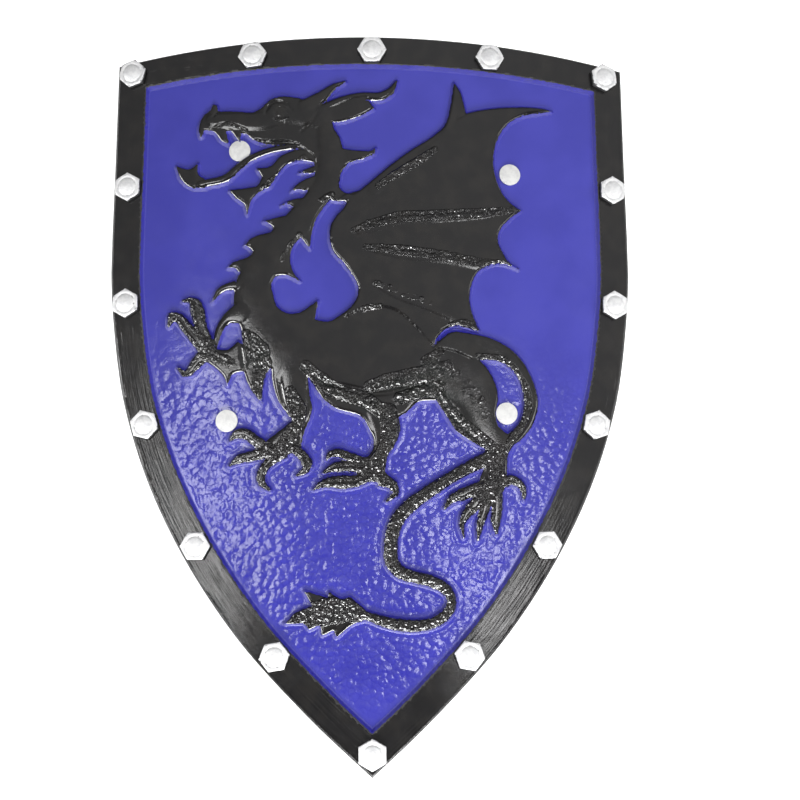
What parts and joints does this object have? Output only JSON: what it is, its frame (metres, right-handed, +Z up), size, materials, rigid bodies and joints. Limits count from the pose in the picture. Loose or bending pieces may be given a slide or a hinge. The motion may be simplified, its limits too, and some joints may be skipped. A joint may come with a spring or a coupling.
{
  "type": "fantasy shield",
  "caption": "Heater shield for costume play, moulded in foam: blue hammered field, raised black rim with hexagonal studs, and a black dragon in low relief.",
  "frame": {"origin": "on the ground under the middle of the bounding box, with the shield lying on its back", "axes": "+X to the right as the face is seen with its tip down, +Y towards the top edge, +Z up out of the face"},
  "size_m": [0.438, 0.61, 0.049],
  "materials": {
    "painted_foam": "satin blue skin coat over foam, with satin black paint on the rim and the relief",
    "silver_paint": "bright silver paint, satin, thin and dark at the edges",
    "rivet_metal": "bare bright metal, lightly brushed",
    "webbing": "black woven polyester webbing"
  },
  "bodies": {
    "root": {"shield_board": "painted_foam", "rim_stud_01": "silver_paint", "rim_stud_02": "silver_paint", "rim_stud_03": "silver_paint", "rim_stud_04": "silver_paint", "rim_stud_05": "silver_paint", "rim_stud_06": "silver_paint", "rim_stud_07": "silver_paint", "rim_stud_08": "silver_paint", "rim_stud_09": "silver_paint", "rim_stud_10": "silver_paint", "rim_stud_11": "silver_paint", "rim_stud_12": "silver_paint", "rim_stud_13": "silver_paint", "rim_stud_14": "silver_paint", "rim_stud_15": "silver_paint", "rim_stud_16": "silver_paint", "rivet_left_upper": "rivet_metal", "rivet_left_lower": "rivet_metal", "rivet_right_upper": "rivet_metal", "rivet_right_lower": "rivet_metal", "strap_left": "webbing", "strap_right": "webbing"}
  },
  "joints": []
}
